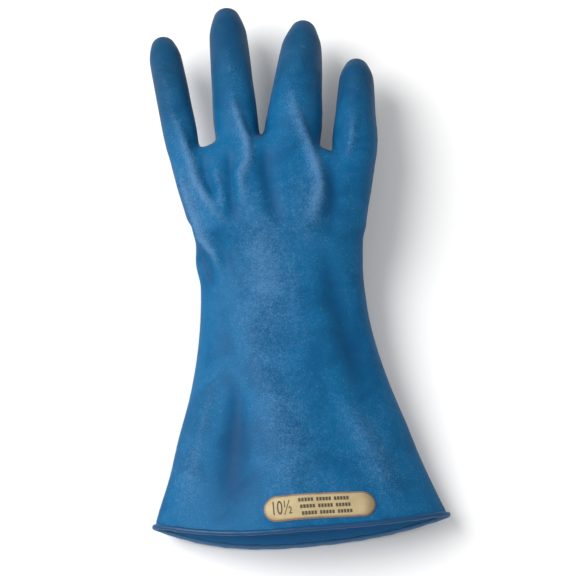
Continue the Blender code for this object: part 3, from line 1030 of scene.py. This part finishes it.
def rubber_material(name, roughness=0.50, powder_and_highlight_strength=1.0, shine=0.10):
    """Dipped rubber with talc and painted highlight on its high places, and painted shade, in navy, in
    its folds.
    """
    nodes = Nodes(name, roughness, shine)
    place = nodes.attribute("place").outputs["Vector"]
    shares = nodes.tree.nodes.new("ShaderNodeSeparateColor")
    kept = nodes.attribute("shares")
    nodes.set(shares.inputs["Color"], kept.outputs["Color"])
    powder_and_highlight, painted_shade, tips = shares.outputs["Red"], shares.outputs["Green"], shares.outputs["Blue"]
    speck = nodes.noise(place, 1250, 2)
    mottle = nodes.noise(place, 300, 4)
    cloud = nodes.noise(place, 46, 3, 0.6)
    base = nodes.mix(nodes.math("MULTIPLY", tips, 0.85), BLUE, TEAL_TIP)
    # painted shade: navy in the creases, between the fingers and towards the sides
    base = nodes.mix(nodes.math("MULTIPLY", painted_shade, 0.72), base, NAVY_SHADE_AND_MOTTLE)
    base = nodes.mix(nodes.math("MULTIPLY", nodes.ramp(cloud, 0.56, 0.36), 0.28), base, NAVY_SHADE_AND_MOTTLE)
    grain = nodes.math("ADD", nodes.math("MULTIPLY", speck, 0.60),
                       nodes.math("MULTIPLY", mottle, 0.22))
    grain = nodes.math("ADD", grain, nodes.math("MULTIPLY", cloud, 0.18))
    cover = nodes.math("SUBTRACT", nodes.math("MULTIPLY", powder_and_highlight, 0.34),
                       nodes.math("MULTIPLY", painted_shade, 0.10))
    cover = nodes.math("SUBTRACT", cover, nodes.math("MULTIPLY", tips, 0.05))
    # talc speckles, thicker as painted highlight on the high places
    powder_and_highlight_share = nodes.ramp(nodes.math("ADD", grain, cover), 0.51, 0.86)
    powder_and_highlight_share = nodes.math("MULTIPLY", powder_and_highlight_share, 0.80 * powder_and_highlight_strength, True)
    colour = nodes.mix(powder_and_highlight_share, base, POWDER_AND_HIGHLIGHT)
    # painted light: the inner wall is given a lighter blue than the outside
    colour = nodes.mix(nodes.math("MULTIPLY", kept.outputs["Alpha"], 0.85), colour, INSIDE_PAINTED_LIGHT_BLUE)
    nodes.set(nodes.shader.inputs["Base Color"], colour)
    rough = nodes.math("ADD", roughness - 0.06, nodes.math("MULTIPLY", powder_and_highlight_share, 0.30))
    rough = nodes.math("ADD", rough, nodes.math("MULTIPLY", mottle, 0.12), True)
    nodes.set(nodes.shader.inputs["Roughness"], rough)
    pebble = nodes.bump(nodes.noise(place, 900, 3), 0.00016, 0.55)
    dents = nodes.bump(nodes.noise(place, 120, 2), 0.0010, 0.35, pebble)
    nodes.set(nodes.shader.inputs["Normal"], dents)
    return nodes.material


def label_material(name, colour, worn, roughness=0.6):
    """Matt printed film with faint stains and a fine grain."""
    nodes = Nodes(name, roughness, 0.3)
    place = nodes.tree.nodes.new("ShaderNodeTexCoord").outputs["Object"]
    stain = nodes.ramp(nodes.noise(place, 170, 4), 0.35, 0.75)
    grain = nodes.noise(place, 2400, 2)
    tone = nodes.mix(nodes.math("MULTIPLY", stain, 0.5), colour, worn)
    tone = nodes.mix(nodes.math("MULTIPLY", grain, 0.25), tone, worn)
    nodes.set(nodes.shader.inputs["Base Color"], tone)
    nodes.set(nodes.shader.inputs["Normal"], nodes.bump(grain, 0.00005, 0.4))
    return nodes.material


def make_materials():
    return {
        "skin": rubber_material("blue_rubber"),
        "bead": rubber_material("bead_rubber", roughness=0.42, powder_and_highlight_strength=0.9, shine=0.35),
        "label": label_material("label_beige", (0.46, 0.365, 0.205, 1), (0.36, 0.26, 0.13, 1)),
        "label_rim": label_material("label_outline", (0.30, 0.20, 0.16, 1), (0.030, 0.030, 0.040, 1)),
        "ink": label_material("label_ink", (0.050, 0.048, 0.030, 1), (0.110, 0.095, 0.060, 1)),
    }


# ---------------------------------------------------------------- studio

def add_floor():
    """The plain pale floor that the glove lies on."""
    bpy.ops.mesh.primitive_plane_add(size=FLOOR_SIZE, location=(0, 0, 0))
    floor = bpy.context.object
    floor.name = "floor"
    nodes = Nodes("pale_floor", 0.9, 0.1)
    nodes.shader.inputs["Base Color"].default_value = (0.86, 0.86, 0.86, 1)
    floor.data.materials.append(nodes.material)


def add_lamp(name, place, size, watts):
    """A soft round lamp that points at the glove."""
    light = bpy.data.lights.new(name, "AREA")
    light.shape = "DISK"
    light.size = size
    light.energy = watts
    lamp = bpy.data.objects.new(name, light)
    lamp.location = place
    lamp.rotation_euler = (-Vector(place)).to_track_quat("-Z", "Y").to_euler()
    bpy.context.scene.collection.objects.link(lamp)


def add_lights():
    """An even white sky and the lamps."""
    world = bpy.data.worlds.new("soft_studio")
    world.use_nodes = True
    world.node_tree.nodes["Background"].inputs["Color"].default_value = (1, 1, 1, 1)
    world.node_tree.nodes["Background"].inputs["Strength"].default_value = WORLD_STRENGTH
    bpy.context.scene.world = world
    for name, (place, size, watts) in LAMPS.items():
        add_lamp(name, place, size, watts)
    bpy.context.scene.view_settings.view_transform = "Standard"


def add_camera():
    """The camera, at the photograph's viewing angle."""
    heading, elevation = math.radians(CAMERA_HEADING), math.radians(CAMERA_ELEVATION)
    ahead = Vector((math.sin(heading) * math.cos(elevation),
                    math.cos(heading) * math.cos(elevation),
                    -math.sin(elevation)))
    camera = bpy.data.cameras.new("camera")
    camera.lens = CAMERA_LENS
    camera.sensor_width = CAMERA_SENSOR
    made = bpy.data.objects.new("camera", camera)
    made.location = Vector(CAMERA_TARGET) - ahead * CAMERA_DISTANCE
    made.rotation_euler = ahead.to_track_quat("-Z", "Y").to_euler()
    bpy.context.scene.collection.objects.link(made)
    bpy.context.scene.camera = made


def main():
    materials = make_materials()
    points, quads, normals, shares = build_skin()
    attach_skin(skin_pieces(points, quads, normals, shares, materials["skin"]))
    build_bead(points, quads, materials["bead"])
    build_label(points, quads, materials)
    add_floor()
    add_lights()
    add_camera()


main()
